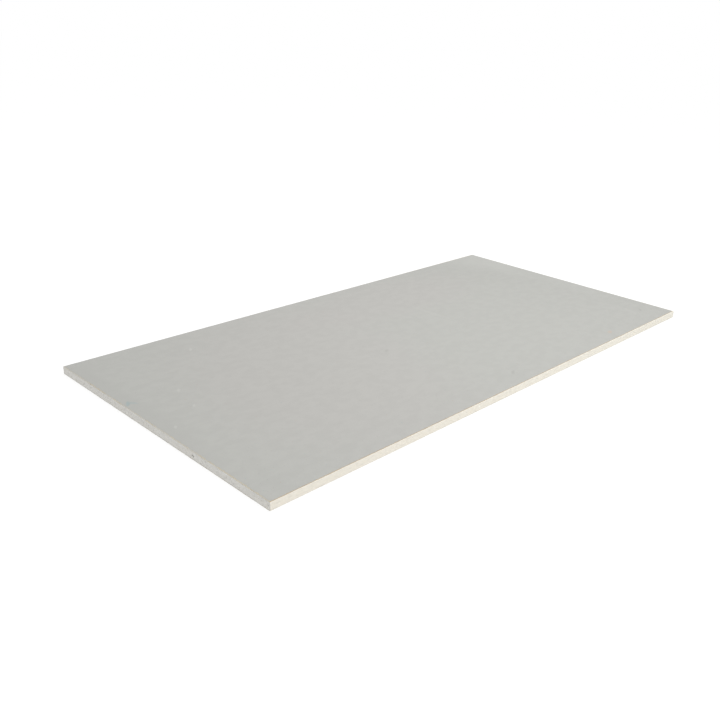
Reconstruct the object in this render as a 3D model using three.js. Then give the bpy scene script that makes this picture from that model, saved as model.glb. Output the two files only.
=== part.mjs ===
// A square-edge drywall sheet: a gypsum plaster core between two paper liners.
//
// Units are millimetres. +X runs along the sheet's length, +Y across its width and +Z up, and the
// origin is the centre of the underside. The sheet lies on its face side, with its back up. The
// face paper is underneath, wraps both long edges and is turned over onto the back in two flaps,
// and the back paper is glued over the flaps. The short ends are cut, so the core shows there.

import {
  ExtrudeGeometry,
  Group,
  Matrix4,
  Mesh,
  MeshStandardMaterial,
  Path,
  Shape,
  Vector2,
  Vector3,
} from 'three';

// --- Driving dimensions -------------------------------------------------------------------

const LENGTH = 1200;
const WIDTH = 600;
const THICKNESS = 15;

const FACE_PAPER_THICKNESS = 0.4;
const BACK_PAPER_THICKNESS = 0.4;

const CORE_CORNER_RADIUS = 0.8; // of the plaster along a long edge, under the bend in the paper
const FLAP_WIDTH = 25;          // from the outside of a long edge to the end of its flap
const BACK_PAPER_SETBACK = 0.8; // from the end of the bend to the edge of the back paper

const FLATS_IN_BEND = 6;        // how many flats stand for each quarter bend

// --- Places that follow from them ---------------------------------------------------------

const halfWidth = WIDTH / 2;
const backPaperUnderside = THICKNESS - BACK_PAPER_THICKNESS;
const flapEnd = halfWidth - FLAP_WIDTH;

// The paper's inside and outside faces turn about the same centre, a paper's thickness apart.
const bendOutsideRadius = CORE_CORNER_RADIUS + FACE_PAPER_THICKNESS;
const bendCentre = halfWidth - bendOutsideRadius;
const lowerBendHeight = bendOutsideRadius;
const upperBendHeight = backPaperUnderside - bendOutsideRadius;

const backPaperEdge = bendCentre - BACK_PAPER_SETBACK;

// --- Cross-sections: x runs across the sheet and y up ---------------------------------------

const QUARTER = Math.PI / 2;

// The way that the face paper goes round the sheet: from the end of one flap, out to the long edge,
// down it, across the underside, and up and in again to the end of the other flap. The radius picks
// the paper's outside face, or its inside face, which is also the surface of the core.
function wrapRoundCore(radius) {
  const flapHeight = upperBendHeight + radius;
  const path = new Path();
  path.moveTo(-flapEnd, flapHeight);
  path.lineTo(-bendCentre, flapHeight);
  path.absarc(-bendCentre, upperBendHeight, radius, QUARTER, 2 * QUARTER);
  path.absarc(-bendCentre, lowerBendHeight, radius, 2 * QUARTER, 3 * QUARTER);
  path.absarc(bendCentre, lowerBendHeight, radius, -QUARTER, 0);
  path.absarc(bendCentre, upperBendHeight, radius, 0, QUARTER);
  path.lineTo(flapEnd, flapHeight);
  return path.getPoints(FLATS_IN_BEND / 2); // a path cuts an arc in two for each division
}

// Plaster fills the wrap, and stands up between the two flaps to meet the back paper.
function coreSection() {
  return new Shape([
    ...wrapRoundCore(CORE_CORNER_RADIUS),
    new Vector2(flapEnd, backPaperUnderside),
    new Vector2(-flapEnd, backPaperUnderside),
  ]);
}

function facePaperSection() {
  return new Shape([
    ...wrapRoundCore(bendOutsideRadius),
    ...wrapRoundCore(CORE_CORNER_RADIUS).reverse(),
  ]);
}

function backPaperSection() {
  return new Shape([
    new Vector2(-backPaperEdge, backPaperUnderside),
    new Vector2(backPaperEdge, backPaperUnderside),
    new Vector2(backPaperEdge, THICKNESS),
    new Vector2(-backPaperEdge, THICKNESS),
  ]);
}

// --- The sheet -------------------------------------------------------------------------------

// Lays a section's x along +Y, its y along +Z and the extrusion along +X, centred on the origin.
const alongSheet = new Matrix4()
  .makeBasis(new Vector3(0, 1, 0), new Vector3(0, 0, 1), new Vector3(1, 0, 0))
  .setPosition(-LENGTH / 2, 0, 0);

function layer(name, section, material) {
  const geometry = new ExtrudeGeometry(section, { depth: LENGTH, bevelEnabled: false });
  geometry.applyMatrix4(alongSheet);
  const mesh = new Mesh(geometry, material);
  mesh.name = name;
  return mesh;
}

const plaster = new MeshStandardMaterial({ color: 0xe4e2db, roughness: 0.95, metalness: 0 });
const ivoryPaper = new MeshStandardMaterial({ color: 0xebe7db, roughness: 0.75, metalness: 0 });
const greyPaper = new MeshStandardMaterial({ color: 0xc2c1bc, roughness: 0.9, metalness: 0 });

const drywallSheet = new Group();
drywallSheet.name = 'drywall_sheet';
drywallSheet.add(
  layer('gypsum_core', coreSection(), plaster),
  layer('face_paper', facePaperSection(), ivoryPaper),
  layer('back_paper', backPaperSection(), greyPaper),
);

export default drywallSheet;
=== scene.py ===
"""A square-edge drywall sheet that lies on its face with its grey back up.

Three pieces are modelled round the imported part, each in the place of its own node: the gypsum
core with its cut, pored ends, the ivory face paper that wraps the long edges, and the grey back
paper that is glued between them.
"""

import math
import random

import bmesh
import bpy
from bpy.props import FloatProperty, FloatVectorProperty, IntProperty, PointerProperty
from mathutils import Matrix, Vector, noise
from mathutils.kdtree import KDTree


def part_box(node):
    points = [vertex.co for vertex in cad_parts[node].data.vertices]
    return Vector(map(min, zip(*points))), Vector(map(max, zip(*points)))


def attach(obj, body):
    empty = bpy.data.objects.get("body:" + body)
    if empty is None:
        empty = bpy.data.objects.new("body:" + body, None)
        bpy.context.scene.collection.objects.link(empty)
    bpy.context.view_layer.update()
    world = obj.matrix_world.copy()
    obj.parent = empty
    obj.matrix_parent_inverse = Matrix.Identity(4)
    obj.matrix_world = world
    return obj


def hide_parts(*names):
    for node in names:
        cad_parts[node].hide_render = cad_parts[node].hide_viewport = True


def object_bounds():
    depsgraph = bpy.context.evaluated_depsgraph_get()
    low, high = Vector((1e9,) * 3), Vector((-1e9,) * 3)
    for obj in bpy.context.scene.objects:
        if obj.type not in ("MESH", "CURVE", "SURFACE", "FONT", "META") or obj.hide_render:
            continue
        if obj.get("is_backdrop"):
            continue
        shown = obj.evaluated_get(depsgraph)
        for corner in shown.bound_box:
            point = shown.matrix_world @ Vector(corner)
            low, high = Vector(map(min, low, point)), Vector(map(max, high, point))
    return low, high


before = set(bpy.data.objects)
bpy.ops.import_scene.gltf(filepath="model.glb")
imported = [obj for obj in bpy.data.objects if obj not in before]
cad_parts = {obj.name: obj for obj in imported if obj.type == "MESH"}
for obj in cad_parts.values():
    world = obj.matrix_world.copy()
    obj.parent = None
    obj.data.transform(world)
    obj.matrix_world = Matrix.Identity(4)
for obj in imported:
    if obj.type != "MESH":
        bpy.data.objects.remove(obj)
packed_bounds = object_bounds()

bl_info = {
    "name": "Drywall sheet",
    "version": (1, 0, 0),
    "blender": (4, 5, 0),
    "location": "3D View > Sidebar > Drywall",
    "description": "Models a square-edge drywall sheet with its paper liners and cut ends",
    "category": "Object",
}

MM = 0.001
HAIR = 0.01 * MM  # places closer than this count as one
ALONG, ACROSS = 0, 1  # the axes along the sheet and across it

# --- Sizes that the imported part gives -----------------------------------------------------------

core_low, core_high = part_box("gypsum_core")
face_low, face_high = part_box("face_paper")
back_low, back_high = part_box("back_paper")

HALF_LENGTH = core_high.x
HALF_WIDTH = face_high.y
CORE_HALF_WIDTH = core_high.y
CORE_BOTTOM = core_low.z
CORE_TOP = core_high.z
SHEET_TOP = back_high.z
BACK_HALF_WIDTH = back_high.y

FACE_THICKNESS = core_low.z - face_low.z
BACK_THICKNESS = back_high.z - back_low.z
FLAP_UNDERSIDE = face_high.z - FACE_THICKNESS


def core_reach(at_height):
    """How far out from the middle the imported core's corners reach at one height."""
    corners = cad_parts["gypsum_core"].data.vertices
    return max(v.co.y for v in corners if abs(v.co.z - at_height) < HAIR)


FLAP_END = core_reach(CORE_TOP)
CORE_RADIUS = CORE_HALF_WIDTH - core_reach(CORE_BOTTOM)
PAPER_RADIUS = CORE_RADIUS + FACE_THICKNESS


def screen(red, green, blue):
    """The linear colour that shows as these screen values, from 0 to 255."""

    def linear(value):
        share = value / 255
        return share / 12.92 if share <= 0.04045 else ((share + 0.055) / 1.055) ** 2.4

    return linear(red), linear(green), linear(blue)


# --- Settings -----------------------------------------------------------------------------------


class PlasterSettings(bpy.types.PropertyGroup):
    colour: FloatVectorProperty(
        name="Plaster",
        description="Colour of the bare gypsum at the cut ends",
        subtype="COLOR",
        min=0,
        max=1,
        default=screen(228, 226.3, 221.3),
    )
    stain: FloatVectorProperty(
        name="Stain",
        description="Colour of the fibres that stay on the plaster beside the paper",
        subtype="COLOR",
        min=0,
        max=1,
        default=screen(227, 217, 197),
    )
    facet: FloatProperty(
        name="Facet",
        description="Spacing of the mesh over a cut end, away from its pores",
        unit="LENGTH",
        default=0.7 * MM,
    )
    recess: FloatProperty(
        name="Recess",
        description="How far the plaster stands back from the cut ends of the paper",
        unit="LENGTH",
        default=0.22 * MM,
    )
    roughness: FloatProperty(
        name="Broken surface",
        description="Depth of the scored and snapped surface",
        unit="LENGTH",
        default=0.16 * MM,
    )
    crumble: FloatProperty(
        name="Crumbled rim",
        description="How deep the plaster has crumbled beside the paper",
        unit="LENGTH",
        default=0.3 * MM,
    )
    pores: IntProperty(
        name="Pores",
        description="Air bubbles that are open on each end",
        default=240,
        min=0,
    )
    pockets: IntProperty(
        name="Pockets",
        description="Long air pockets that are open on each end",
        default=7,
        min=0,
    )


class PaperSettings(bpy.types.PropertyGroup):
    ivory: FloatVectorProperty(
        name="Face paper",
        description="Colour of the smooth paper round the long edges and underneath",
        subtype="COLOR",
        min=0,
        max=1,
        default=screen(235.2, 231.5, 220.7),
    )
    grey: FloatVectorProperty(
        name="Back paper",
        description="Colour of the recycled paper on the back",
        subtype="COLOR",
        min=0,
        max=1,
        default=screen(186.7, 186.9, 182.4),
    )
    cut_ivory: FloatVectorProperty(
        name="Face paper's plies",
        description="Colour of the inner plies that show where the face paper is cut",
        subtype="COLOR",
        min=0,
        max=1,
        default=screen(222, 216, 203),
    )
    cut_grey: FloatVectorProperty(
        name="Back paper's plies",
        description="Colour of the tan inner plies that show at the back paper's cut ends",
        subtype="COLOR",
        min=0,
        max=1,
        default=screen(223, 214, 193),
    )
    seam: FloatVectorProperty(
        name="Seam",
        description="Colour of the back paper's long edges, browned where they meet the flaps",
        subtype="COLOR",
        min=0,
        max=1,
        default=screen(187, 169, 143),
    )
    column: FloatProperty(
        name="Column",
        description="Spacing of the mesh along a cut end",
        unit="LENGTH",
        default=0.8 * MM,
    )
    fray: FloatProperty(
        name="Fray",
        description="How unevenly the paper is cut off at the ends",
        unit="LENGTH",
        default=0.16 * MM,
    )
    left_lap: FloatProperty(
        name="Lap at the left end",
        description="How far the back paper laps out towards the long edges at the left end",
        unit="LENGTH",
        default=1.4 * MM,
    )
    right_lap: FloatProperty(
        name="Lap at the right end",
        description="How far it laps out at the right end, where it runs slightly narrower",
        unit="LENGTH",
        default=-0.8 * MM,
    )
    feather: FloatProperty(
        name="Feathered edge",
        description="How far the grey ply is torn back from the back paper's long edges",
        unit="LENGTH",
        default=1.1 * MM,
    )
    bared: FloatProperty(
        name="Bared ends",
        description="How far the grey ply is torn back from the cut ends",
        unit="LENGTH",
        default=1.3 * MM,
    )
    back_lip: FloatProperty(
        name="Back paper's torn lip",
        description="How far its inner plies hang over the plaster at their longest",
        unit="LENGTH",
        default=0.7 * MM,
    )
    face_lip: FloatProperty(
        name="Face paper's torn lip",
        description="How far its inner plies hang over the plaster at their longest",
        unit="LENGTH",
        default=0.35 * MM,
    )


class StageSettings(bpy.types.PropertyGroup):
    camera_place: FloatVectorProperty(
        name="Camera",
        description="Where the camera stands",
        subtype="TRANSLATION",
        unit="LENGTH",
        default=(-1.1879, -1.0431, 0.6348),
    )
    camera_turn: FloatVectorProperty(
        name="Camera turn",
        description="How the camera is turned",
        subtype="EULER",
        default=tuple(math.radians(angle) for angle in (66.724, -2.189, -45.23)),
    )
    lens: FloatProperty(
        name="Lens",
        description="Focal length on a sensor 36 mm wide",
        unit="CAMERA",
        default=40.731,
        min=1,
    )
    shift: FloatProperty(
        name="Shift",
        description="How far the view is shifted sideways, as a share of its width",
        default=-0.0153,
    )
    sky: FloatProperty(
        name="Room light",
        description="Strength of the even light from all round",
        default=0.75,
        min=0,
    )
    key: FloatProperty(
        name="Key lamp",
        description="Power of the soft lamp in front of the near long edge",
        subtype="POWER",
        default=14.4,
        min=0,
    )
    overhead: FloatProperty(
        name="Overhead lamp",
        description="Power of the soft lamp above the sheet",
        subtype="POWER",
        default=5.8,
        min=0,
    )
    floor: FloatVectorProperty(
        name="Floor",
        description="Colour of the floor, which lights the sheet's edges from below",
        subtype="COLOR",
        min=0,
        max=1,
        default=screen(236, 236, 236),
    )
    shadow: FloatProperty(
        name="Shadow",
        description="How much of the shadow shows on the white floor",
        subtype="FACTOR",
        default=0.4,
        min=0,
        max=1,
    )


# --- Finishes -----------------------------------------------------------------------------------


def shade(colour, factor):
    """A colour made lighter or darker."""
    return tuple(min(1.0, channel * factor) for channel in colour[:3])


def tinted(colour, tint):
    """A colour of which a part of the red, green and blue is kept."""
    return tuple(channel * part for channel, part in zip(colour, tint))


class Nodes:
    """Short ways to add nodes to one node tree."""

    def __init__(self, tree):
        self.tree = tree

    def add(self, kind, inputs=(), **settings):
        """Adds a node, makes its settings and feeds its inputs with values or sockets."""
        made = self.tree.nodes.new("ShaderNode" + kind)
        for name, value in settings.items():
            setattr(made, name, value)
        for socket, value in dict(inputs).items():
            self.feed(made.inputs[socket], value)
        return made

    def feed(self, socket, value):
        """Links an input to a socket, or gives it a value of its own."""
        if isinstance(value, bpy.types.NodeSocket):
            self.tree.links.new(value, socket)
        else:
            socket.default_value = value

    def maths(self, operation, first, second=0.0, third=0.0):
        """The result of a sum on up to three values or sockets."""
        inputs = {0: first, 1: second, 2: third}
        return self.add("Math", inputs, operation=operation).outputs[0]

    def ramp(self, value, low, high, to_low=0.0, to_high=1.0):
        """A value eased from the range low to high onto another range."""
        inputs = {0: value, 1: low, 2: high, 3: to_low, 4: to_high}
        return self.add("MapRange", inputs, interpolation_type="SMOOTHSTEP").outputs[0]

    def seen(self):
        """1 for what the camera sees itself, in a gloss or through glass, and 0 for light."""
        rays = self.add("LightPath").outputs
        gloss = self.maths("MAXIMUM", rays["Is Camera Ray"], rays["Is Glossy Ray"])
        return self.maths("MAXIMUM", gloss, rays["Is Transmission Ray"])


# The Mix node's inputs and output for colours
FIRST_COLOUR, SECOND_COLOUR, MIXED_COLOUR = 6, 7, 2


class Finish(Nodes):
    """A material in the making: its shader, and short ways to colour and pattern it."""

    def __init__(self, name, roughness, specular=0.3):
        self.material = bpy.data.materials.new(name)
        self.material.use_nodes = True
        super().__init__(self.material.node_tree)
        self.shader = self.tree.nodes["Principled BSDF"]
        self.shader.inputs["Roughness"].default_value = roughness
        self.shader.inputs["Specular IOR Level"].default_value = specular
        self.place = self.add("TexCoord").outputs["Object"]

    def coordinate(self, axis):
        """Where a point lies along X, Y or Z."""
        return self.add("SeparateXYZ", {0: self.place}).outputs[axis]

    def inset(self, axis, half_size):
        """How far in from the nearer end or side of the sheet a point lies."""
        return self.maths("SUBTRACT", half_size, self.maths("ABSOLUTE", self.coordinate(axis)))

    def blend(self, share, first, second, way="MIX"):
        """The first colour with a share of the second mixed in."""
        inputs = {0: share}
        for socket, colour in ((FIRST_COLOUR, first), (SECOND_COLOUR, second)):
            linked = isinstance(colour, bpy.types.NodeSocket)
            inputs[socket] = colour if linked else (*colour[:3], 1.0)
        mix = self.add("Mix", inputs, data_type="RGBA", blend_type=way)
        return mix.outputs[MIXED_COLOUR]

    def tint(self, share, tone, colour):
        """A tone that takes on a share of a tint and keeps its own pattern."""
        return self.blend(share, tone, colour, way="MULTIPLY")

    def dot_in(self, tone, specks, strength, colour):
        """A tone with specks or a mark of another colour laid over it."""
        return self.blend(self.maths("MULTIPLY", specks, strength), tone, colour)

    def placed(self, size, centre=(0, 0, 0), turn=0.0):
        """Coordinates that go from 0 at a centre to 1 at each of these distances from it."""
        inputs = {"Vector": self.place, "Location": centre, "Scale": size}
        inputs["Rotation"] = (0, 0, math.radians(turn))
        return self.add("Mapping", inputs, vector_type="TEXTURE").outputs["Vector"]

    def cloud(self, size, detail=2.0, turn=0.0, centre=(0, 0, 0)):
        """Soft noise from 0 to 1, whose blotches are about this long each way."""
        inputs = {"Vector": self.placed(size, centre, turn), "Scale": 1.0}
        inputs["Detail"] = detail
        return self.add("TexNoise", inputs).outputs[0]

    def specks(self, spacing, radius, share, flat=False):
        """Ragged dots of several sizes, thrown about at a spacing, of which a share shows."""
        dimensions = "2D" if flat else "3D"
        inputs = {"Vector": self.placed((spacing,) * 3), "Scale": 1.0}
        cells = self.add("TexVoronoi", inputs, voronoi_dimensions=dimensions)
        draws = self.add("SeparateColor", {0: cells.outputs["Color"]}).outputs
        size = radius / spacing
        ragged = self.cloud((radius,) * 3, centre=(0.4 * spacing, 0, 0))
        far = self.maths("MULTIPLY_ADD", ragged, size, cells.outputs["Distance"])
        reach = self.maths("MULTIPLY_ADD", draws[1], size, size)
        dot = self.ramp(far, self.maths("MULTIPLY", reach, 0.6), reach, 1.0, 0.0)
        return self.maths("MULTIPLY", dot, self.maths("LESS_THAN", draws[0], share))

    def mark(self, x, y, length, width, turn=0.0, ragged=0.5, z=0.0, height=2.0):
        """1 in the middle of one ragged mark on the sheet, fading to 0 at about its size."""
        size = (length / 2, width / 2, height / 2)
        offset = self.placed(size, (x, y, z), turn)
        far = self.add("VectorMath", {0: offset}, operation="LENGTH").outputs["Value"]
        uneven = self.cloud((width / 2,) * 3, detail=3.0)
        edge = self.maths("MULTIPLY_ADD", uneven, 2 * ragged, far)
        return self.ramp(edge, 0.4 + ragged, 1.1 + ragged, 1.0, 0.0)

    def add_marks(self, tone, marks, strength, colour, ragged=0.5):
        """A tone with marks (x, y, length, width, turn) on it, in millimetres and degrees."""
        for x, y, length, width, turn in marks:
            mark = self.mark(x * MM, y * MM, length * MM, width * MM, turn, ragged)
            tone = self.dot_in(tone, mark, strength, colour)
        return tone

    def washed(self):
        """How far the tan of torn plies has faded, more so towards the far long edge."""
        trend = self.ramp(self.coordinate("Y"), -HALF_WIDTH, HALF_WIDTH, -0.04, 0.1)
        blotches = self.cloud((34 * MM,) * 3, detail=4.0, centre=(9 * MM, 59 * MM, 0))
        return self.ramp(self.maths("ADD", blotches, trend), 0.5, 0.62)

    def unless(self, share, hidden, most):
        """A share that is lowered by up to this much where another is 1."""
        return self.maths("MULTIPLY", share, self.maths("MULTIPLY_ADD", hidden, -most, 1.0))

    def paint(self, colour):
        """Gives the material its colour."""
        self.feed(self.shader.inputs["Base Color"], colour)

    def emboss(self, height, depth, strength=1.0):
        """Raises a height that goes from 0 to 1 by a real depth."""
        inputs = {"Height": height, "Distance": depth, "Strength": strength}
        bump = self.add("Bump", inputs)
        self.feed(self.shader.inputs["Normal"], bump.outputs["Normal"])


def strands(finish, length, width):
    """Matted paper fibres, which lie along the sheet in two slightly crossed ways."""
    size = (length, width, width)
    one_way = finish.cloud(size, detail=3.0, turn=13)
    other_way = finish.cloud(size, detail=3.0, turn=-24, centre=(31 * MM, 17 * MM, 0))
    return finish.maths("MAXIMUM", one_way, other_way)


BLUE_FIBRE = screen(118, 167, 176)
RUST_FIBRE = screen(186, 132, 84)
INK_FIBRE = screen(100, 98, 95)
GRIT = screen(158, 152, 142)

# Tints, as the parts that they keep of red, green and blue
WARMED = (1.0099, 0.993, 1.0)
CREAMY = (0.985, 0.96, 0.91)
DARKER_YELLOWER = (0.97, 0.945, 0.93)
BURNT = (0.56, 0.48, 0.36)


def grey_liner(grey, plies, bared):
    """Recycled grey paper: cloudy, fibrous, flecked with old print and faintly scuffed."""
    finish = Finish("grey_liner", roughness=0.92)
    fibres = strands(finish, 3.6 * MM, 0.4 * MM)
    tone = finish.blend(finish.ramp(fibres, 0.4, 0.75), shade(grey, 0.97), shade(grey, 1.03))
    clouds = finish.cloud((24 * MM, 18 * MM, 18 * MM), detail=4.0)
    tone = finish.blend(finish.ramp(clouds, 0.38, 0.62), tone, shade(grey, 0.965))
    streaks = finish.cloud((700 * MM, 7 * MM, 7 * MM), detail=2.0)
    tone = finish.blend(finish.ramp(streaks, 0.3, 0.7, 0.0, 0.12), tone, shade(grey, 1.05))
    for spacing, radius, share, strength, colour in (
        (7, 0.35, 0.3, 0.5, INK_FIBRE),
        (6, 0.4, 0.3, 0.4, shade(grey, 1.3)),
        (37, 0.6, 0.4, 0.6, BLUE_FIBRE),
        (43, 0.6, 0.4, 0.6, RUST_FIBRE),
    ):
        flecks = finish.specks(spacing * MM, radius * MM, share, flat=True)
        tone = finish.dot_in(tone, flecks, strength, colour)
    tone = handling_marks(finish, tone, grey)
    finish.paint(worn_rim(finish, tone, grey, plies, bared))
    finish.emboss(fibres, 0.05 * MM, 0.6)
    return finish.material


def handling_marks(finish, tone, grey):
    """A bluish smear, an orange fleck, dark spots, faint pale rubs, a warmer middle, a darker left
    end, and painted light over the right end.
    """
    tone = finish.add_marks(tone, [(-591, 88, 24, 8, 61)], 0.85, BLUE_FIBRE, ragged=0.35)
    tone = finish.add_marks(tone, [(-584, 86, 22, 10, -48)], 0.5, BLUE_FIBRE, ragged=0.35)
    tone = finish.add_marks(tone, [(358, -271, 22, 11, 22)], 0.14, shade(RUST_FIBRE, 1.5))
    spots = [(x, y, 20, 8, 35) for x, y in ((-90, -31), (547, -242), (17, -260))]
    tone = finish.add_marks(tone, spots, 0.12, INK_FIBRE)
    # The top is made darker over the left end.
    darker_left_end = finish.mark(-HALF_LENGTH, 60 * MM, 640 * MM, 90 * MM, turn=90, ragged=0.7)
    tone = finish.dot_in(tone, darker_left_end, 0.7, shade(grey, 0.95))
    pale_rubs_and_light = shade(grey, 1.12)
    # Painted light: the top is painted lighter towards the far right corner.
    painted_light_corner = finish.mark(HALF_LENGTH, HALF_WIDTH, 420 * MM, 300 * MM, turn=90, ragged=0.3)
    tone = finish.dot_in(tone, painted_light_corner, 0.5, pale_rubs_and_light)
    small_rubs = (
        (-577, -33, 12, 6, 59),
        (-499, 78, 14, 7, 59),
        (-512, 12, 13, 6, 59),
        (-380, 219, 17, 7, 57),
    )
    tone = finish.add_marks(tone, small_rubs, 0.65, pale_rubs_and_light, ragged=0.7)
    broad_rubs_and_light = (
        (300, 166, 30, 14, 10),
        (147, 55, 150, 16, 92),
        (-154, -20, 50, 12, -36),
        (517, -235, 60, 16, 62),
        (169, -263, 30, 10, 0),
        # Painted light: this last, broad mark lightens the right end.
        (600, 150, 640, 150, 90),
    )
    tone = finish.add_marks(tone, broad_rubs_and_light, 0.2, pale_rubs_and_light, ragged=0.7)
    warm_patches = ((-270, 0, 620, 900), (150, 190, 640, 280))
    for x, y, length, width in warm_patches:
        warm = finish.mark(x * MM, y * MM, length * MM, width * MM, ragged=0.3)
        tone = finish.tint(warm, tone, WARMED)
    return tone


def worn_rim(finish, tone, grey, plies, bared):
    """Darker along all four edges, and inner plies bared raggedly beside the cut ends."""
    from_end = finish.inset("X", HALF_LENGTH)
    from_edge = finish.maths("MINIMUM", from_end, finish.inset("Y", HALF_WIDTH))
    uneven = finish.cloud((6 * MM,) * 3)
    # The top is made darker within about 2.5 mm of all four edges.
    darker_rim = finish.maths("MULTIPLY_ADD", uneven, -2 * MM, from_edge)
    tone = finish.blend(finish.ramp(darker_rim, 0, 2.5 * MM, 0.2, 0.0), tone, shade(grey, 0.8))
    ragged = finish.cloud((5 * MM,) * 3, detail=5.0, centre=(3 * MM, 0, 0))
    torn = finish.maths("MULTIPLY_ADD", ragged, -6 * bared, from_end)
    share = finish.ramp(torn, -2 * bared - 0.4 * MM, -2 * bared + 0.4 * MM, 0.9, 0.0)
    return finish.blend(finish.unless(share, finish.washed(), 0.5), tone, plies)


def ivory_liner(ivory):
    """Dense ivory paper, faintly grained, mottled, scuffed, and with one spot of chalk."""
    finish = Finish("ivory_liner", roughness=0.78)
    fibres = strands(finish, 6 * MM, 0.6 * MM)
    tone = finish.blend(finish.ramp(fibres, 0.4, 0.75), shade(ivory, 0.965), shade(ivory, 1.025))
    clouds = finish.cloud((120 * MM, 30 * MM, 30 * MM), detail=4.0)
    tone = finish.blend(finish.ramp(clouds, 0.3, 0.7, 0.0, 0.5), tone, shade(ivory, 0.97))
    mottles = finish.cloud((9 * MM, 9 * MM, 4 * MM), detail=3.0)
    tone = finish.blend(finish.ramp(mottles, 0.45, 0.65, 0.0, 0.7), tone, tinted(ivory, CREAMY))
    scuffs = finish.cloud((11 * MM, 3 * MM, 3.5 * MM), detail=3.0)
    tone = finish.blend(finish.ramp(scuffs, 0.5, 0.66, 0.0, 0.8), tone, shade(ivory, 0.84))
    tone = finish.dot_in(tone, finish.specks(3.9 * MM, 0.5 * MM, 0.4), 0.35, INK_FIBRE)
    chalky = finish.cloud((7 * MM, 3 * MM, 2.6 * MM), detail=4.0, centre=(21 * MM, 0, 4 * MM))
    tone = finish.blend(finish.ramp(chalky, 0.54, 0.68, 0.0, 0.8), tone, shade(ivory, 1.12))
    # The face paper is made darker and yellower towards the left end.
    towards_left = finish.ramp(finish.coordinate("X"), -HALF_LENGTH, HALF_LENGTH, 0.5, 0.0)
    tone = finish.blend(towards_left, tone, tinted(ivory, DARKER_YELLOWER))
    chalk = finish.mark(-137 * MM, -HALF_WIDTH, 5 * MM, 5 * MM, z=9 * MM, height=4 * MM)
    finish.paint(finish.dot_in(tone, chalk, 0.65, shade(ivory, 1.3)))
    finish.emboss(fibres, 0.03 * MM, 0.5)
    return finish.material


def inner_plies(name, brown, burnt_share=0.8, faded=0.65):
    """The inside of a paper, in uneven plies where it is cut or torn."""
    finish = Finish(name, roughness=0.95, specular=0.2)
    plies = finish.cloud((2.4 * MM, 2.4 * MM, 0.2 * MM), detail=3.0)
    tone = finish.blend(finish.ramp(plies, 0.32, 0.68), shade(brown, 0.8), shade(brown, 1.14))
    browned = finish.cloud((16 * MM,) * 3, detail=5.0)
    share = finish.ramp(browned, 0.5, 0.66, 0.0, burnt_share)
    tone = finish.blend(share, tone, tinted(brown, BURNT))
    pale = tuple(0.3 * channel + 0.7 * max(brown) for channel in brown)
    washed = finish.maths("MULTIPLY", finish.washed(), faded)
    finish.paint(finish.blend(washed, tone, shade(pale, 0.98)))
    finish.emboss(plies, 0.1 * MM)
    return finish.material


def gypsum(plaster, stain):
    """Chalky cast plaster: pinholes and grit, brown beside the back paper; painted shade in the
    pinholes and deep inside, painted light low down.
    """
    finish = Finish("gypsum", roughness=0.96, specular=0.2)
    clouds = finish.cloud((9 * MM, 9 * MM, 5 * MM), detail=4.0)
    tone = finish.blend(finish.ramp(clouds, 0.3, 0.7), shade(plaster, 0.94), shade(plaster, 1.03))
    yellowed = finish.cloud((14 * MM,) * 3, detail=2.0, centre=(5 * MM, 8 * MM, 0))
    tone = finish.blend(finish.ramp(yellowed, 0.5, 0.7, 0.0, 0.2), tone, stain)
    grains = finish.cloud((1.9 * MM,) * 3, detail=3.0)
    tone = finish.blend(finish.ramp(grains, 0.48, 0.7, 0.0, 0.7), tone, shade(plaster, 0.76))
    chips = finish.specks(4 * MM, 1.3 * MM, 0.45)
    tone = finish.dot_in(tone, chips, 0.7, shade(plaster, 1.1))
    pinholes = finish.specks(0.9 * MM, 0.26 * MM, 0.5)
    # Painted shade: the pinholes are painted darker, as if shade falls into them.
    tone = finish.dot_in(tone, pinholes, 0.3, shade(plaster, 0.55))
    grit = finish.specks(3.5 * MM, 0.6 * MM, 0.45)
    tone = finish.dot_in(tone, grit, 0.6, GRIT)
    # Painted shade: the plaster is painted almost black from about a millimetre deep into each end,
    # so the deep hollows look dark.
    painted_shade_inside = finish.ramp(finish.inset("X", HALF_LENGTH), 0.9 * MM, 2.6 * MM, 0.0, 0.95)
    tone = finish.blend(painted_shade_inside, tone, shade(plaster, 0.12))
    height = finish.coordinate("Z")
    # Painted light: the plaster is painted lighter towards its lower edge, against the shade beside
    # the floor.
    painted_light_low_down = finish.ramp(height, CORE_BOTTOM, CORE_TOP, 0.45, 0.0)
    tone = finish.blend(painted_light_low_down, tone, shade(plaster, 1.12))
    ragged = finish.cloud((2.5 * MM, 2.5 * MM, 1.2 * MM), detail=3.0)
    edge = finish.maths("MULTIPLY_ADD", ragged, 1.2 * MM, height)
    from_top = finish.ramp(edge, CORE_TOP - 0.4 * MM, CORE_TOP + 0.5 * MM, 0.0, 0.9)
    finish.paint(finish.blend(finish.unless(from_top, finish.washed(), 0.5), tone, stain))
    crumbs = finish.cloud((0.6 * MM,) * 3, detail=3.0)
    finish.emboss(finish.maths("SUBTRACT", crumbs, pinholes), 0.16 * MM, 0.8)
    return finish.material


# --- Meshes and the pieces made of them ---------------------------------------------------------

CREASE = math.radians(40)  # a fold sharper than this shades as an edge


def place_piece(bm, name, node, finishes):
    """Makes a piece of a closed mesh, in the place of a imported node, and lets it ride."""
    bmesh.ops.recalc_face_normals(bm, faces=bm.faces)
    mesh = bpy.data.meshes.new(name)
    bm.to_mesh(mesh)
    bm.free()
    mesh.shade_smooth()
    mesh.set_sharp_from_angle(angle=CREASE)
    for finish in finishes:
        mesh.materials.append(finish)
    piece = bpy.data.objects.new(name, mesh)
    bpy.context.scene.collection.objects.link(piece)
    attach(piece, "root")
    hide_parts(node)


def made_verts(result):
    """The vertices that an extrusion has made."""
    return [part for part in result["geom"] if isinstance(part, bmesh.types.BMVert)]


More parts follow.
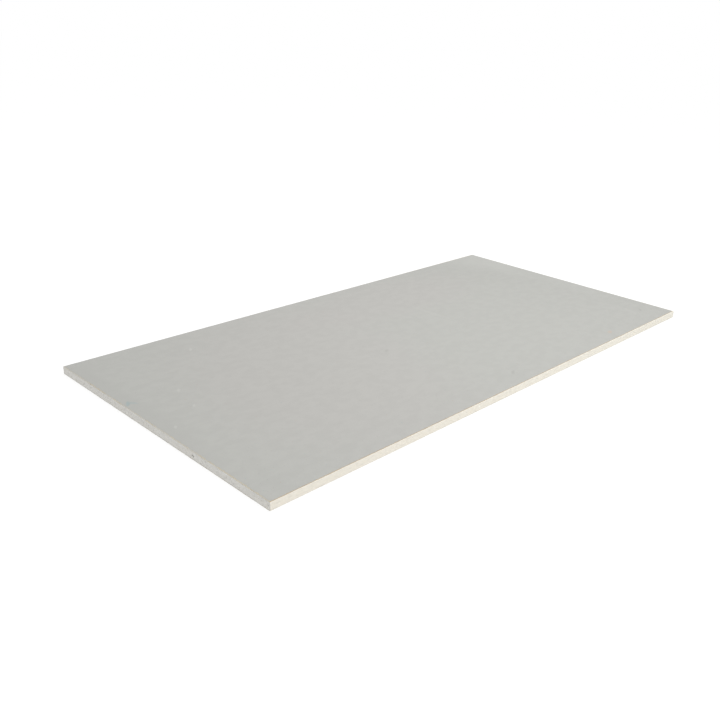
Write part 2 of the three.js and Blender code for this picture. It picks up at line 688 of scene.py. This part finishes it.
def slice_at(bm, axis, place):
    """Cuts new edges all round a mesh, square to an axis."""
    way = Vector((0, 0, 0))
    way[axis] = 1
    everything = bm.verts[:] + bm.edges[:] + bm.faces[:]
    bmesh.ops.bisect_plane(
        bm, geom=everything, dist=0.1 * HAIR, plane_co=way * place, plane_no=way
    )


# --- The gypsum core ----------------------------------------------------------------------------

CORNER_TURNS = (0, 20, 40, 60, 80)  # where a rounded corner's flats meet, in degrees

SMALLEST_PORE = 0.35 * MM
PORE_SPREAD = 0.75 * MM  # how much more the radius of the largest pore is
MOSTLY_SMALL = 2.5  # a power: the higher it is, the more of the pores are small
BESIDE_PORE = 0.9 * MM  # plaster that is left between a pore's rim and the paper
BESIDE_POCKET = 2.5 * MM  # from the middle of a pocket to the paper
POCKET_DEPTH = 1.6 * MM
STEEPEST_POCKET = 12  # degrees

FINE_CUTS = 2  # that divide each edge of the mesh where a hollow opens
FINE_MARGIN = 0.4 * MM  # how far past its rim a round pore is meshed finely
LONG_MARGIN = 0.18  # and how much further a long hollow is, as a part of its half length

FIRST_DRAW = 40  # starts the chance that scatters the hollows
BROKEN_SEED = 3.7  # where the broken surface is cut from the noise
CRUMBLED_RIM = 1 * MM  # width of the rim beside the paper that has crumbled


def plaster_low(y):
    """Height of the plaster's underside, which turns up round each long edge."""
    return CORE_BOTTOM + turned_in(y)


def plaster_high(y):
    """Height of its upper side, which also drops by a paper's thickness under each flap."""
    flat = CORE_TOP if abs(y) < FLAP_END + HAIR else FLAP_UNDERSIDE
    return flat - turned_in(y)


def turned_in(y):
    """How far a rounded corner has turned in from the flat, at this distance across."""
    past = max(0.0, abs(y) - (CORE_HALF_WIDTH - CORE_RADIUS))
    return CORE_RADIUS - math.sqrt(max(0.0, CORE_RADIUS**2 - past**2))


def cut_block(facet):
    """The core as a plain block: a fine grid on each cut end, and long flat walls between."""
    width = 2 * CORE_HALF_WIDTH
    height = CORE_TOP - CORE_BOTTOM
    # The grid's own x runs across the sheet, and its y runs up the left end.
    upright = Matrix(
        (
            (0, 0, 1, -HALF_LENGTH),
            (width, 0, 0, 0),
            (0, height, 0, CORE_BOTTOM + height / 2),
            (0, 0, 0, 1),
        )
    )
    bm = bmesh.new()
    bmesh.ops.create_grid(
        bm,
        x_segments=round(width / facet),
        y_segments=round(height / facet),
        size=0.5,
        matrix=upright,
    )
    far_end = made_verts(
        bmesh.ops.extrude_face_region(bm, geom=bm.faces[:], use_keep_orig=True)
    )
    bmesh.ops.translate(bm, verts=far_end, vec=(2 * HALF_LENGTH, 0, 0))
    return bm


def fit_between_papers(bm):
    """Draws the block's upper and lower sides onto the inside of the paper."""
    for side in (-1, 1):
        slice_at(bm, ACROSS, side * FLAP_END)
        slice_at(bm, ACROSS, side * (FLAP_END + 2 * HAIR))
        for turn in CORNER_TURNS:
            past = CORE_RADIUS * math.sin(math.radians(turn))
            slice_at(bm, ACROSS, side * (CORE_HALF_WIDTH - CORE_RADIUS + past))
    for vert in bm.verts:
        low, high = plaster_low(vert.co.y), plaster_high(vert.co.y)
        share = (vert.co.z - CORE_BOTTOM) / (CORE_TOP - CORE_BOTTOM)
        vert.co.z = low + share * (high - low)


class Hollow:
    """An air bubble or a long air pocket that the cut has opened."""

    def __init__(self, y, z, half_length, half_height, depth, tilt=0.0):
        self.y = y
        self.z = z
        self.half_length = half_length
        self.half_height = half_height
        self.depth = depth
        self.tilt = math.radians(tilt)
        self.reach = max(half_length, half_height)
        self.margin = FINE_MARGIN + LONG_MARGIN * half_length

    def share_out(self, y, z):
        """How far out a place is, from 0 in the middle to 1 at the rim."""
        along = (y - self.y) * math.cos(self.tilt) + (z - self.z) * math.sin(self.tilt)
        over = (z - self.z) * math.cos(self.tilt) - (y - self.y) * math.sin(self.tilt)
        return math.hypot(along / self.half_length, over / self.half_height)

    def depth_at(self, y, z):
        """How deep its rounded floor lies at a place."""
        return self.depth * math.sqrt(max(0.0, 1 - self.share_out(y, z) ** 2))

    def draw_to_rim(self, vert, most):
        """Moves a vertex onto the rim, if it lies within this distance of it."""
        y, z = vert.co.y - self.y, vert.co.z - self.z
        share = self.share_out(vert.co.y, vert.co.z)
        if share > 0 and abs(1 - 1 / share) * math.hypot(y, z) < most:
            vert.co.y = self.y + y / share
            vert.co.z = self.z + z / share


def scattered_hollows(chance, pores, pockets):
    """Bubbles of many sizes and a few long pockets, fewer towards the paper."""
    found = []
    for _ in range(pores):
        radius = SMALLEST_PORE + PORE_SPREAD * chance.random() ** MOSTLY_SMALL
        room = radius + BESIDE_PORE
        y = chance.uniform(room - CORE_HALF_WIDTH, CORE_HALF_WIDTH - room)
        z = chance.triangular(CORE_BOTTOM + room, FLAP_UNDERSIDE - room)
        found.append(Hollow(y, z, radius * chance.uniform(0.9, 1.5), radius, radius))
    for _ in range(pockets):
        half_length = chance.uniform(1.4, 2.8) * MM
        half_height = chance.uniform(0.45, 0.8) * MM
        y = chance.uniform(-0.9, 0.9) * CORE_HALF_WIDTH
        z = chance.triangular(CORE_BOTTOM + BESIDE_POCKET, FLAP_UNDERSIDE - BESIDE_POCKET)
        tilt = chance.uniform(-STEEPEST_POCKET, STEEPEST_POCKET)
        found.append(Hollow(y, z, half_length, half_height, POCKET_DEPTH, tilt))
    return found


def left_end_hollows():
    """The long dark pocket and the larger pores of the left end."""
    pocket = Hollow(-114.6 * MM, 6.7 * MM, 3.5 * MM, 1.4 * MM, 9 * MM, tilt=20)
    pores = (
        (-134, 2.6, 1.3, 0.9, 1.8),
        (60, 2.4, 1.6, 0.9, 1.9),
        (222, 7.4, 1.9, 0.9, 1.7),
        (252, 2.9, 2.2, 1.1, 2.4),
    )
    return [pocket] + [Hollow(*(size * MM for size in pore)) for pore in pores]


def found_near(verts, places):
    """Each place's vertices within its distance, as (where, index) pairs."""
    tree = KDTree(len(verts))
    for index, vert in enumerate(verts):
        tree.insert(vert.co, index)
    tree.balance()
    for centre, distance in places:
        yield [(where, index) for where, index, _ in tree.find_range(centre, distance)]


def refine(bm, end, hollows):
    """Divides one end's mesh finely where a hollow opens."""
    verts = [vert for vert in bm.verts if vert.co.x * end > 0]
    places = [((end * HALF_LENGTH, h.y, h.z), h.reach + h.margin) for h in hollows]
    near = set()
    for hollow, found in zip(hollows, found_near(verts, places)):
        rise = hollow.half_length * math.sin(hollow.tilt)
        steep = hollow.half_height * math.cos(hollow.tilt)
        height = hollow.margin + math.hypot(rise, steep)
        near.update(verts[i] for where, i in found if abs(where.z - hollow.z) < height)
    fine = [edge for edge in bm.edges if near.issuperset(edge.verts)]
    bmesh.ops.subdivide_edges(bm, edges=fine, cuts=FINE_CUTS, use_grid_fill=True)


def draw_rims(bm, end, hollows, facet):
    """Gives each hollow a clean rim, by moving the nearest vertices onto it."""
    verts = [vert for vert in bm.verts if vert.co.x * end > 0]
    most = 0.5 * facet / (FINE_CUTS + 1)
    places = [((end * HALF_LENGTH, h.y, h.z), h.reach + most) for h in hollows]
    for hollow, found in zip(hollows, found_near(verts, places)):
        for _, index in found:
            hollow.draw_to_rim(verts[index], most)


def hollowed(verts, end, hollows):
    """How deep the deepest hollow lies at each vertex of one end."""
    depths = [0.0] * len(verts)
    places = [((end * HALF_LENGTH, h.y, h.z), h.reach) for h in hollows]
    for hollow, found in zip(hollows, found_near(verts, places)):
        for where, index in found:
            depths[index] = max(depths[index], hollow.depth_at(where.y, where.z))
    return depths


def unevenness(y, z, end, size):
    """Smooth noise over a cut end, from about -1 to 1, in waves of about this size."""
    return noise.noise(Vector((y / size, z / size, BROKEN_SEED * end)))


def crumbled(y, z, end):
    """How far the plaster has crumbled away, from 0 to 1, most of all under the back paper."""
    below_back = max(0.0, 1 - (plaster_high(y) - z) / CRUMBLED_RIM)
    from_face = min(z - plaster_low(y), CORE_HALF_WIDTH - abs(y))
    beside_face = max(0.0, 1 - from_face / CRUMBLED_RIM)
    return (0.6 + 0.6 * unevenness(y, 0, end, 4 * MM)) * (below_back + 0.3 * beside_face)


def weather(bm, end, hollows, settings):
    """Presses the broken surface, its crumbled rim and the hollows into one end."""
    verts = [vert for vert in bm.verts if vert.co.x * end > 0]
    for vert, depth in zip(verts, hollowed(verts, end, hollows)):
        y, z = vert.co.y, vert.co.z
        broad = 0.4 * unevenness(y, z, end, 9 * MM)
        fine = 0.5 * unevenness(y, z, end, 1.7 * MM)
        depth += settings.recess + settings.roughness * max(0.0, 0.5 + broad + fine)
        depth += settings.crumble * crumbled(y, z, end)
        vert.co.x -= end * depth


def core_mesh(settings):
    """The plaster between the papers, with both ends cut, pored and crumbled."""
    bm = cut_block(settings.facet)
    fit_between_papers(bm)
    for end in (-1, 1):
        chance = random.Random(FIRST_DRAW + end)
        hollows = scattered_hollows(chance, settings.pores, settings.pockets)
        if end < 0:
            hollows += left_end_hollows()
        refine(bm, end, hollows)
        draw_rims(bm, end, hollows, settings.facet)
        weather(bm, end, hollows, settings)
    return bm


# --- The papers ---------------------------------------------------------------------------------

BEND_FLATS = 10  # how many flats stand for each quarter bend
TORN_STRIP = 0.14 * MM  # width of the strip beside a cut end that is frayed and torn
END_ROWS = (TORN_STRIP, 0.6 * MM, 2 * MM, 8 * MM)  # how far in the close rows lie
SEAM_CUTS = 900  # that divide the back paper's long edges for the tear
OUTER_PLY, INNER_PLIES, SEAM_PLIES = 0, 1, 2  # material slots

# Where each paper's own tears and frays are cut from the noise
FACE_SEED = 5.3
BACK_SEED = 8.1
BROAD_TEAR_SEED = 2.1
FINE_TEAR_SEED = 7.3


def line_across(points, bend_radius=0.0):
    """A line across the left end, through points (y, z) with a round bend at each inner one."""
    bm = bmesh.new()
    verts = [bm.verts.new((-HALF_LENGTH, y, z)) for y, z in points]
    for first, second in zip(verts, verts[1:]):
        bm.edges.new((first, second))
    if bend_radius:
        bmesh.ops.bevel(
            bm,
            geom=verts[1:-1],
            offset=bend_radius,
            offset_type="OFFSET",
            segments=BEND_FLATS,
            profile=0.5,
            affect="VERTICES",
            material=-1,
        )
    return bm


def roll_out(bm, column):
    """Draws a line along the sheet, in columns, with close rows beside both cut ends."""
    for edge in bm.edges[:]:
        cuts = round(edge.calc_length() / column) - 1
        if cuts > 0:
            bmesh.ops.subdivide_edges(bm, edges=[edge], cuts=cuts)
    far_end = made_verts(bmesh.ops.extrude_edge_only(bm, edges=bm.edges[:]))
    bmesh.ops.translate(bm, verts=far_end, vec=(2 * HALF_LENGTH, 0, 0))
    for row in END_ROWS:
        slice_at(bm, ALONG, row - HALF_LENGTH)
        slice_at(bm, ALONG, HALF_LENGTH - row)


def face_outwards(bm):
    """Turns an open sheet's faces away from the middle of the board."""
    bmesh.ops.recalc_face_normals(bm, faces=bm.faces)
    bm.normal_update()
    middle = Vector((0, 0, SHEET_TOP / 2))
    outward = sum(
        face.normal.dot(face.calc_center_median() - middle) * face.calc_area()
        for face in bm.faces
    )
    if outward < 0:
        bmesh.ops.reverse_faces(bm, faces=bm.faces)


def uneven_along(vert, size, seed):
    """Noise from 0 to 1 that differs along a cut end and between the two ends."""
    seed = math.copysign(seed, vert.co.x)
    return 0.5 + 0.5 * noise.noise(Vector((vert.co.y / size, vert.co.z / size, seed)))


def in_torn_strip(vert):
    """Whether a vertex lies in the narrow strip beside a cut end."""
    return abs(vert.co.x) > HALF_LENGTH - TORN_STRIP - HAIR


def on_side(face):
    """Whether a face is one of the paper's sides, and not of its cut end."""
    return abs(face.normal.x) < 0.5


def hang_lip(bm, outer, longest, reach, seed):
    """Lets torn inner plies hang over the plaster at both cut ends, out to a reach across."""
    bm.normal_update()
    strip = [
        face
        for face in bm.faces
        if face not in outer
        and on_side(face)
        and all(in_torn_strip(vert) and abs(vert.co.y) < reach for vert in face.verts)
    ]
    lip = made_verts(bmesh.ops.extrude_face_region(bm, geom=strip, use_keep_orig=True))
    bmesh.ops.delete(bm, geom=strip, context="FACES")
    bm.normal_update()
    for vert in lip:
        ways = [face.normal for face in vert.link_faces if on_side(face)]
        inward = sum(ways, Vector()).normalized()
        torn = uneven_along(vert, 15 * MM, seed) * uneven_along(vert, 1.8 * MM, seed)
        vert.co += inward * longest * (0.1 + 1.4 * torn)


def fray(bm, amount, seed):
    """Moves the cut ends in and out, as a knife leaves thick paper."""
    for vert in filter(in_torn_strip, bm.verts):
        broad = uneven_along(vert, 7 * MM, seed)
        fine = uneven_along(vert, 1.2 * MM, seed)
        cut_back = amount * min(1.0, max(0.0, 1.3 * broad + 0.9 * fine - 0.6))
        vert.co.x -= math.copysign(cut_back, vert.co.x)


def thicken(bm, thickness, lip, lip_reach, frayed, seed):
    """Makes paper of a rolled-out sheet: its thickness, its torn lips and its frayed ends."""
    face_outwards(bm)
    outer = set(bm.faces)
    bmesh.ops.solidify(bm, geom=bm.faces[:], thickness=thickness)
    hang_lip(bm, outer, lip, lip_reach, seed)
    fray(bm, frayed, seed)
    for face in bm.faces:
        face.material_index = OUTER_PLY if face in outer else INNER_PLIES


def flap_height(y):
    """Height of the flaps' upper side, which turns down round each long edge."""
    past = max(0.0, abs(y) - (HALF_WIDTH - PAPER_RADIUS))
    return SHEET_TOP - BACK_THICKNESS - PAPER_RADIUS + math.sqrt(PAPER_RADIUS**2 - past**2)


def divide_long_edges(bm, column):
    """Divides the back paper's two outermost columns along the sheet, to be torn."""
    inner = BACK_HALF_WIDTH - 2 * column - HAIR
    along = [
        edge
        for edge in bm.edges
        if min(abs(vert.co.y) for vert in edge.verts) > inner and edge.calc_length() > HALF_LENGTH
    ]
    bmesh.ops.subdivide_edges(bm, edges=along, cuts=SEAM_CUTS)


def tear_long_edges(bm, settings):
    """Laps the back paper over the bends, with its grey ply torn back from its long edges."""
    middle = SHEET_TOP - BACK_THICKNESS / 2
    furthest_out = HALF_WIDTH - 0.1 * MM
    # Places across the sheet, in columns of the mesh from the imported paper's edge
    outer_column = BACK_HALF_WIDTH - 0.75 * settings.column
    torn_columns = BACK_HALF_WIDTH - 1.5 * settings.column
    furthest_in = BACK_HALF_WIDTH - 1.9 * settings.column
    for face in bm.faces:
        if abs(face.calc_center_median().y) > outer_column:
            face.material_index = SEAM_PLIES
    torn_verts = [vert for vert in bm.verts if abs(vert.co.y) > torn_columns]
    for vert in torn_verts:
        side = math.copysign(1, vert.co.y)
        share = 0.5 + 0.5 * vert.co.x / HALF_LENGTH
        lap = settings.left_lap + (settings.right_lap - settings.left_lap) * share**2
        broad = noise.noise(Vector((vert.co.x / (16 * MM), side, BROAD_TEAR_SEED)))
        fine = noise.noise(Vector((vert.co.x / (3 * MM), side, FINE_TEAR_SEED)))
        out = BACK_HALF_WIDTH + lap + (0.3 * broad + 0.2 * fine) * MM
        thickness = BACK_THICKNESS / 2
        if abs(vert.co.y) < BACK_HALF_WIDTH - HAIR:
            torn = settings.feather * (0.7 + 0.5 * broad - 0.5 * fine)
            out = max(out - torn, furthest_in)
            thickness = BACK_THICKNESS
        if vert.co.z < middle:
            thickness = 0
        vert.co.y = side * min(out, furthest_out)
        vert.co.z = flap_height(vert.co.y) + thickness


def face_paper(settings):
    """The face paper, which wraps the long edges and turns in on the back as a flap."""
    seam = SHEET_TOP - BACK_THICKNESS
    points = (
        (-FLAP_END, seam),
        (-HALF_WIDTH, seam),
        (-HALF_WIDTH, 0),
        (HALF_WIDTH, 0),
        (HALF_WIDTH, seam),
        (FLAP_END, seam),
    )
    bm = line_across(points, PAPER_RADIUS)
    roll_out(bm, settings.column)
    everywhere = HALF_WIDTH + HAIR
    thicken(bm, FACE_THICKNESS, settings.face_lip, everywhere, settings.fray, FACE_SEED)
    return bm


def back_paper(settings):
    """The back paper, lapped over the flaps and torn along its long edges."""
    bm = line_across(((-BACK_HALF_WIDTH, SHEET_TOP), (BACK_HALF_WIDTH, SHEET_TOP)))
    roll_out(bm, settings.column)
    divide_long_edges(bm, settings.column)
    between_flaps = FLAP_END - MM
    thicken(bm, BACK_THICKNESS, settings.back_lip, between_flaps, settings.fray, BACK_SEED)
    tear_long_edges(bm, settings)
    return bm


# --- The stage ----------------------------------------------------------------------------------

SENSOR_WIDTH = 36  # millimetres, as Blender measures a camera's sensor and lens

KEY_PLACE = Vector((-0.3, -2.5, 1.1))
KEY_SIZE = 1.5
OVERHEAD_PLACE = Vector((0.3, -0.2, 1.3))
OVERHEAD_SIZE = 1.0

FLOOR_RADIUS = 14
FLOOR_SIDES = 96
FLOOR_GAP = 0.1 * MM  # keeps the floor clear of the sheet's underside


def set_camera(scene, settings):
    """Stands the camera in its place and shows colours as they are written."""
    data = bpy.data.cameras.new("camera")
    data.sensor_width = SENSOR_WIDTH
    data.lens = settings.lens
    data.shift_x = settings.shift
    camera = bpy.data.objects.new("camera", data)
    camera.location = settings.camera_place
    camera.rotation_euler = settings.camera_turn
    scene.collection.objects.link(camera)
    scene.camera = camera
    scene.view_settings.view_transform = "Standard"


def hang_lamp(name, power, size, place):
    """A square soft lamp that points at the middle of the sheet and isn't seen itself."""
    data = bpy.data.lights.new(name, "AREA")
    data.energy = power
    data.size = size
    lamp = bpy.data.objects.new(name, data)
    lamp.location = place
    lamp.rotation_euler = (-place).to_track_quat("-Z", "Y").to_euler()
    lamp.visible_camera = False
    bpy.context.scene.collection.objects.link(lamp)


def light_room(scene, strength):
    """Even light from all round, in a room that looks white."""
    world = bpy.data.worlds.new("white_room")
    world.use_nodes = True
    nodes = Nodes(world.node_tree)
    background = nodes.tree.nodes["Background"]
    background.inputs["Color"].default_value = (1, 1, 1, 1)
    level = nodes.add("MapRange", {"Value": nodes.seen(), "To Min": strength, "To Max": 1.0})
    nodes.feed(background.inputs["Strength"], level.outputs[0])
    scene.world = world


def white_floor(colour, shadow, sky):
    """A matt finish that looks white where nothing shades it, and keeps a part of the shadow."""
    material = bpy.data.materials.new("white_floor")
    material.use_nodes = True
    nodes = Nodes(material.node_tree)
    nodes.tree.nodes.clear()
    matt = nodes.add("BsdfDiffuse", {"Color": (*colour, 1)})
    shaded = nodes.add("BsdfDiffuse", {"Color": (*shade(colour, shadow), 1)})
    lit_by_room = shadow * colour[0] * sky
    lift = nodes.add("Emission", {"Strength": 1 - lit_by_room})
    shown = nodes.add("AddShader", {0: shaded.outputs[0], 1: lift.outputs[0]})
    inputs = {0: nodes.seen(), 1: matt.outputs[0], 2: shown.outputs[0]}
    floor = nodes.add("MixShader", inputs)
    nodes.add("OutputMaterial", {"Surface": floor.outputs[0]})
    return material


def lay_floor(settings):
    """A wide white floor, just under the sheet."""
    bm = bmesh.new()
    below = Matrix.Translation((0, 0, -FLOOR_GAP))
    bmesh.ops.create_circle(
        bm, cap_ends=True, segments=FLOOR_SIDES, radius=FLOOR_RADIUS, matrix=below
    )
    mesh = bpy.data.meshes.new("floor")
    bm.to_mesh(mesh)
    bm.free()
    mesh.materials.append(white_floor(settings.floor[:], settings.shadow, settings.sky))
    floor = bpy.data.objects.new("floor", mesh)
    bpy.context.scene.collection.objects.link(floor)
    floor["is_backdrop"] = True


# --- Operators ----------------------------------------------------------------------------------


class DRYWALL_OT_core(bpy.types.Operator):
    """Models the gypsum core with its two cut ends"""

    bl_idname = "drywall.core"
    bl_label = "Gypsum core"

    def execute(self, context):
        settings = context.scene.drywall_plaster
        finish = gypsum(settings.colour, settings.stain)
        place_piece(core_mesh(settings), "plaster_core", "gypsum_core", [finish])
        return {"FINISHED"}


class DRYWALL_OT_liners(bpy.types.Operator):
    """Models the face paper round the long edges and the back paper between them"""

    bl_idname = "drywall.liners"
    bl_label = "Paper liners"

    def execute(self, context):
        settings = context.scene.drywall_paper
        ivory = [ivory_liner(settings.ivory), inner_plies("cut_face_paper", settings.cut_ivory)]
        place_piece(face_paper(settings), "ivory_face_liner", "face_paper", ivory)
        weathered_plies = shade(settings.cut_grey, 0.72)
        grey = [
            grey_liner(settings.grey, weathered_plies, settings.bared),
            inner_plies("cut_back_paper", settings.cut_grey),
            inner_plies("torn_seam", settings.seam, burnt_share=0.3, faded=0.2),
        ]
        place_piece(back_paper(settings), "grey_back_liner", "back_paper", grey)
        return {"FINISHED"}


class DRYWALL_OT_stage(bpy.types.Operator):
    """Sets up the camera, the lamps, the white room and the floor"""

    bl_idname = "drywall.stage"
    bl_label = "Stage"

    def execute(self, context):
        settings = context.scene.drywall_stage
        set_camera(context.scene, settings)
        hang_lamp("key_lamp", settings.key, KEY_SIZE, KEY_PLACE)
        hang_lamp("overhead_lamp", settings.overhead, OVERHEAD_SIZE, OVERHEAD_PLACE)
        light_room(context.scene, settings.sky)
        lay_floor(settings)
        return {"FINISHED"}


# --- The add-on ---------------------------------------------------------------------------------


class DRYWALL_PT_sheet(bpy.types.Panel):
    """Lists the sheet's pieces, its sizes and its colours"""

    bl_idname = "DRYWALL_PT_sheet"
    bl_label = "Drywall sheet"
    bl_space_type = "VIEW_3D"
    bl_region_type = "UI"
    bl_category = "Drywall"

    def draw(self, context):
        groups = (
            (DRYWALL_OT_core, context.scene.drywall_plaster),
            (DRYWALL_OT_liners, context.scene.drywall_paper),
            (DRYWALL_OT_stage, context.scene.drywall_stage),
        )
        for operator, settings in groups:
            column = self.layout.column(align=True)
            column.operator(operator.bl_idname)
            for name in settings.__annotations__:
                column.prop(settings, name)


CLASSES = (
    PlasterSettings,
    PaperSettings,
    StageSettings,
    DRYWALL_OT_core,
    DRYWALL_OT_liners,
    DRYWALL_OT_stage,
    DRYWALL_PT_sheet,
)


def register():
    for each in CLASSES:
        bpy.utils.register_class(each)
    bpy.types.Scene.drywall_plaster = PointerProperty(type=PlasterSettings)
    bpy.types.Scene.drywall_paper = PointerProperty(type=PaperSettings)
    bpy.types.Scene.drywall_stage = PointerProperty(type=StageSettings)


def unregister():
    del bpy.types.Scene.drywall_stage
    del bpy.types.Scene.drywall_paper
    del bpy.types.Scene.drywall_plaster
    for each in reversed(CLASSES):
        bpy.utils.unregister_class(each)


def main():
    """Models the sheet and its stage."""
    register()
    bpy.ops.drywall.core()
    bpy.ops.drywall.liners()
    bpy.ops.drywall.stage()
    sizes = {"cad": packed_bounds, "visual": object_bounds()}
    {name: [list(corner) for corner in box] for name, box in sizes.items()}


if __name__ == "__main__":
    main()
